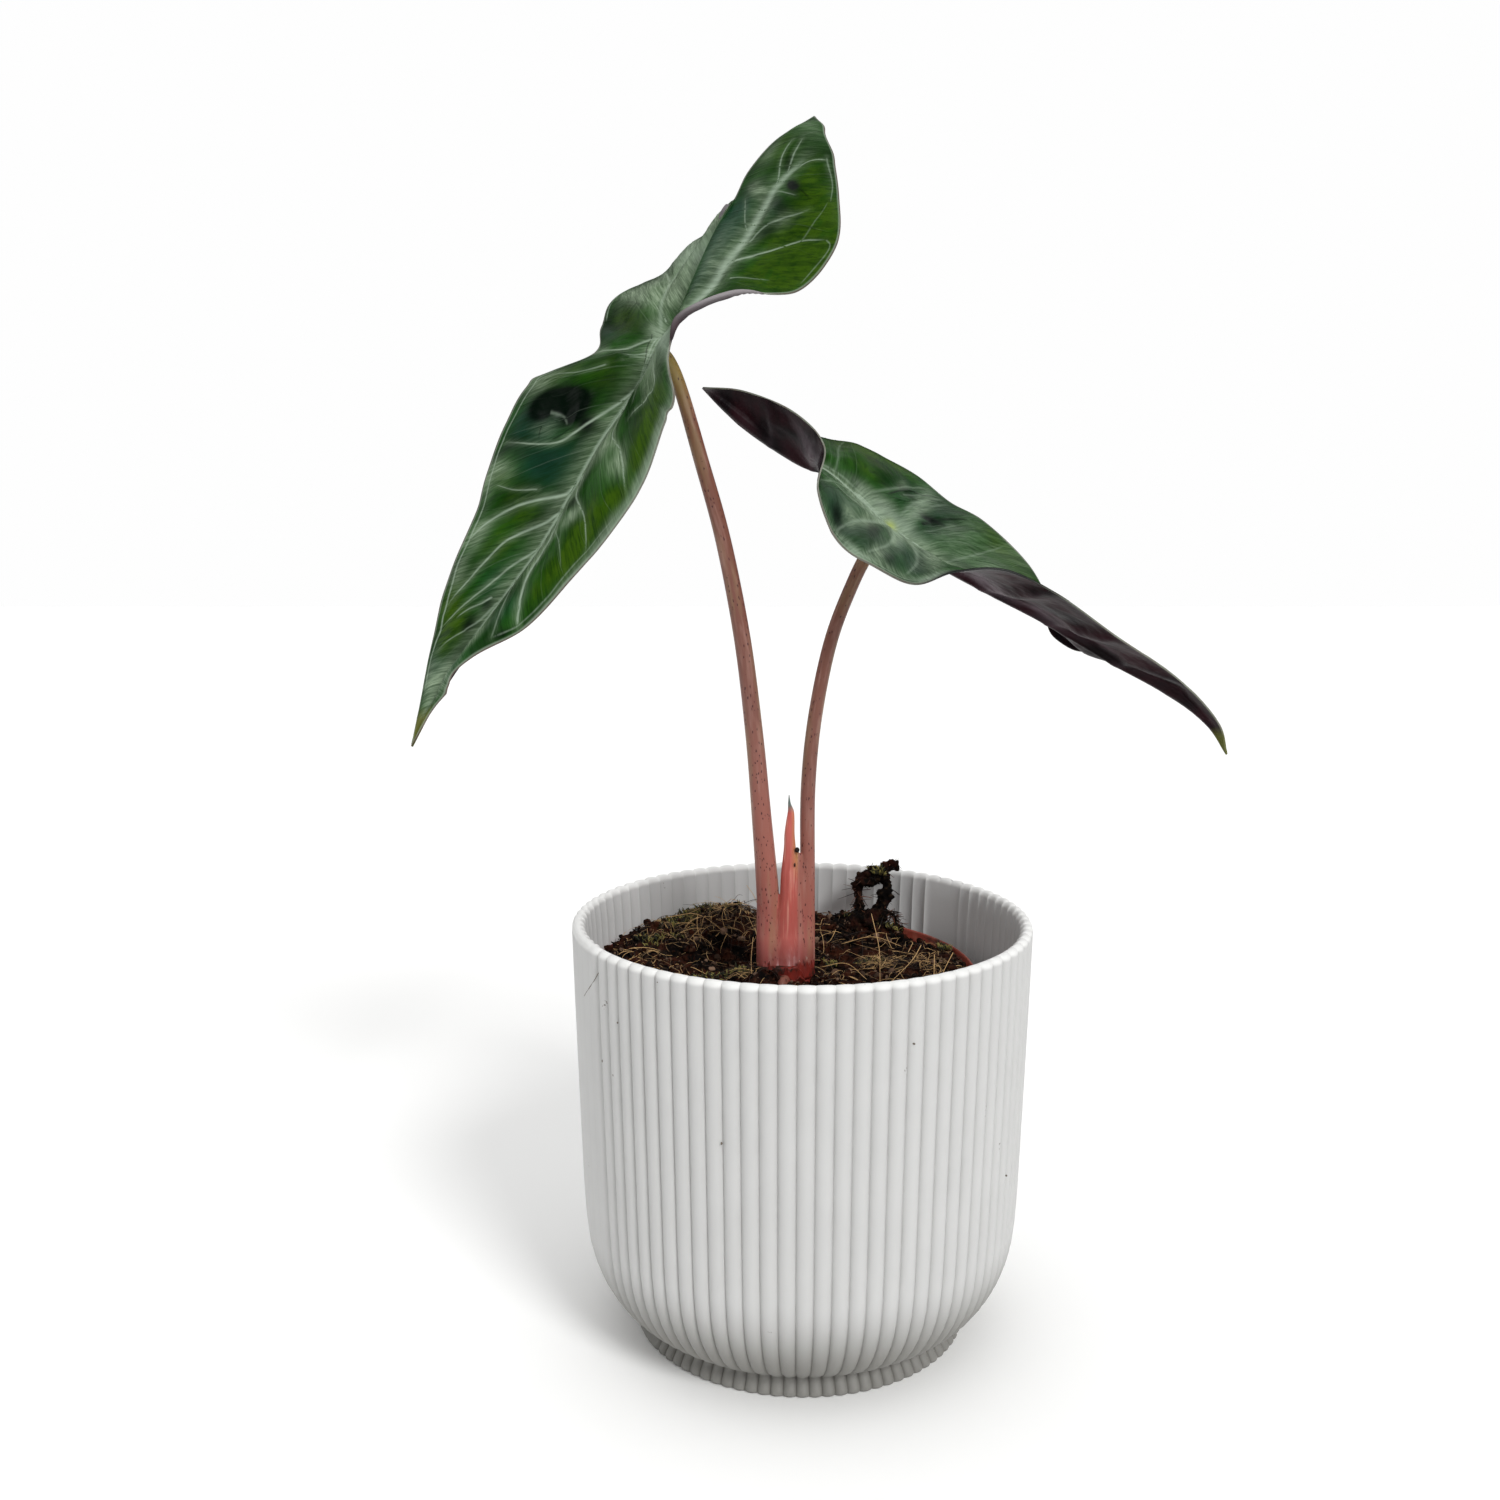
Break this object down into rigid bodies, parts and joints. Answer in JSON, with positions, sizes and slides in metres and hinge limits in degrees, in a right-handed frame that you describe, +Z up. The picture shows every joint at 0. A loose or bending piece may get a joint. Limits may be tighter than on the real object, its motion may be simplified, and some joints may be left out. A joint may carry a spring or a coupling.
{
  "type": "potted pink dragon alocasia",
  "caption": "Young pink dragon alocasia with waved arrow-shaped leaves on pink speckled stalks, in a thin nursery pot inside a ribbed round cover pot.",
  "frame": {"origin": "centre of the cover pot's underside, on the surface that it stands on", "axes": "+Z up along the cover pot's axis, -Y towards the viewer of the picture, +X to the viewer's right"},
  "size_m": [0.2358, 0.1406, 0.3668],
  "materials": {
    "cover_pot": "matte",
    "nursery_pot": "matte",
    "soil": "matte",
    "peat": "matte",
    "corm": "matte",
    "petiole": "satin",
    "new_leaf": "satin",
    "leaf": "satin"
  },
  "bodies": {
    "root": {"cover_pot": "cover_pot", "nursery_pot": "nursery_pot", "soil": "soil", "peat_tuft": "peat", "corm": "corm", "petiole_left": "petiole", "petiole_right": "petiole", "new_leaf": "new_leaf", "leaf_left": "leaf", "leaf_right": "leaf"}
  },
  "joints": []
}
